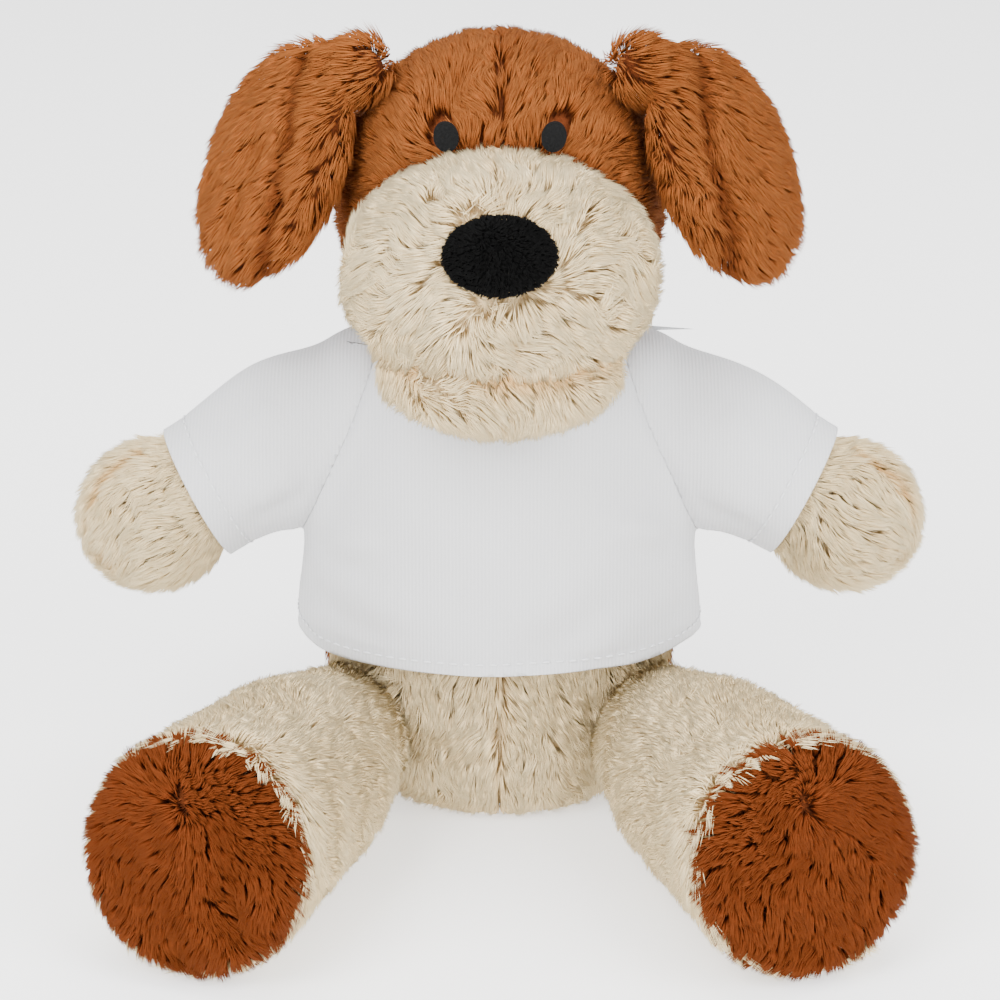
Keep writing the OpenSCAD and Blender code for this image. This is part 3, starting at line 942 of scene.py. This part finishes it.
def make_shirt():
    source = shirt_surface()
    bm = bmesh.new()
    bm.from_mesh(source)
    cut(bm, (0, 0, HEM_Z), (0, HEM_TILT, -1), True)
    for side in (LEFT, RIGHT):
        at, axes = arm_place(side)
        cut(bm, at + axes[:, 2] * CUFF_AT, axes[:, 2], True)
        cut(bm, *seam_plane(side), False)
    bm.to_mesh(source)
    bm.free()

    def sleeve_side(p, side):
        at, normal = seam_plane(side)
        return (p - at) @ normal > 0

    def in_neck(p):
        return (np.hypot(p[:, 0], p[:, 1]) < NECK_HOLE_R) & (p[:, 2] > 90)

    trunk = lambda p: ~sleeve_side(p, LEFT) & ~sleeve_side(p, RIGHT) & ~in_neck(p)
    body_part = shirt_part(source, "shirt_body", trunk)
    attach(body_part, "torso")
    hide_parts("shirt_front", "shirt_back")
    surface = BVHTree.FromPolygons([v.co[:] for v in source.vertices], [p.vertices[:] for p in source.polygons])
    for name, side in SIDES.items():
        part = shirt_part(source, "sleeve_%s_cloth" % name, lambda p: sleeve_side(p, side) & ~in_neck(p))
        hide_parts("sleeve_" + name, "cuff_thread_" + name)
        at, axes = arm_place(side)
        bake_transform(part)
        make_stitches("cuff_%s_stitches" % name, cuff_path(surface, at, axes), "arm_" + name)
    hem = make_stitches("hem_stitches", hem_path(surface), "torso")
    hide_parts("hem_thread")
    bpy.data.meshes.remove(source)


def hem_path(surface):
    rays = [(math.cos(a), math.sin(a)) for a in np.linspace(0, 2 * math.pi, 361)[:-1]]
    height = lambda y: HEM_STITCH_Z + HEM_TILT * y * BELLY_R * BODY_DEPTH
    hits = [surface.ray_cast(Vector((x * 90, y * 90, height(y))) * MM, Vector((-x, -y, 0)))[0] for x, y in rays]
    return [vec(h[:]) / MM for h in hits if h is not None]


def cuff_path(surface, at, axes):
    hits = []
    for angle in np.linspace(0, 2 * math.pi, 181)[:-1]:
        out = axes[:, 0] * math.cos(angle) + axes[:, 1] * math.sin(angle)
        start = at + axes[:, 2] * CUFF_STITCH_AT + out * 30
        hit = surface.ray_cast(Vector(start) * MM, Vector(-out))[0]
        if hit is not None:
            hits.append(vec(hit[:]) / MM)
    return hits


def make_stitches(name, path, body_name, pitch=3.3, share=0.7, radius=0.24):
    """A row of short stitches along a closed path of points."""
    path = np.array(path)
    loop = np.vstack([path, path[:1]])
    steps = np.linalg.norm(np.diff(loop, axis=0), axis=1)
    total = np.concatenate([[0], np.cumsum(steps)])
    count = int(total[-1] / pitch)
    at = lambda s: np.stack([np.interp(s % total[-1], total, loop[:, i]) for i in range(3)], axis=-1)
    centre = path.mean(axis=0)
    rays, tris = ball_rays(2)
    points, faces = [], []
    for k in range(count):
        a, b = at(k * pitch), at((k + share) * pitch)
        middle = (a + b) / 2
        out = unit(middle - centre)
        axis = unit(b - a)
        other = np.cross(axis, out)
        half = np.linalg.norm(b - a) / 2
        shape = rays * (half, radius, radius * 1.3)
        points.append(middle + shape @ np.stack([axis, out, other]))
        faces.append(tris + k * len(rays))
    obj = build_mesh(name, np.vstack(points), np.vstack(faces))
    obj.data.materials.append(thread)
    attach(obj, body_name)
    return obj


# ---------------------------------------------------------------- CAD pieces that stay
def finish_cad_pieces():
    kept = {"eye_left": eye_felt, "eye_right": eye_felt, "neck_band": jersey, "pellet_bag": pellet_cloth}
    for name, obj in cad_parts.items():
        material = kept.get(name)
        if name.endswith("_stuffing"):
            material = fibre
        if material is None:
            continue
        obj.data.materials.clear()
        obj.data.materials.append(material)


# ---------------------------------------------------------------- studio
def make_studio():
    bpy.ops.mesh.primitive_plane_add(size=6, location=(0, 0, 0))
    floor = bpy.context.object
    floor.name = "floor"
    material, principled = shader("floor_paper", 0.9)
    principled.inputs["Base Color"].default_value = (0.96, 0.96, 0.96, 1)
    principled.inputs["Emission Color"].default_value = (1, 1, 1, 1)
    principled.inputs["Emission Strength"].default_value = 0.9
    floor.data.materials.append(material)
    world = bpy.data.worlds.new("studio")
    world.use_nodes = True
    world.node_tree.nodes["Background"].inputs["Color"].default_value = (1, 1, 1, 1)
    world.node_tree.nodes["Background"].inputs["Strength"].default_value = 1.1
    bpy.context.scene.world = world
    add_light("key", (-700, -900, 1100), 0.9, 26)
    add_light("fill", (800, -700, 800), 0.9, 16)
    add_light("top", (0, 200, 1200), 1.0, 14)
    add_light("front", (0, -1400, 250), 1.2, 22)


def add_light(name, at, size, power):
    data = bpy.data.lights.new(name, "AREA")
    data.size = size
    data.energy = power
    obj = new_object(name, data)
    obj.location = Vector(at) * MM
    aim = Vector((0, 0, 90)) * MM - obj.location
    obj.rotation_euler = aim.to_track_quat("-Z", "Y").to_euler()


place_camera()
make_studio()
make_head()
make_nose()
for index, (side_name, side_sign) in enumerate(SIDES.items()):
    make_ear(side_name, side_sign, 101 + 20 * index)
    make_arm(side_name, side_sign, 107 + 20 * index)
    make_leg(side_name, side_sign, 111 + 20 * index)
make_body()
make_tail()
make_shirt()
finish_cad_pieces()
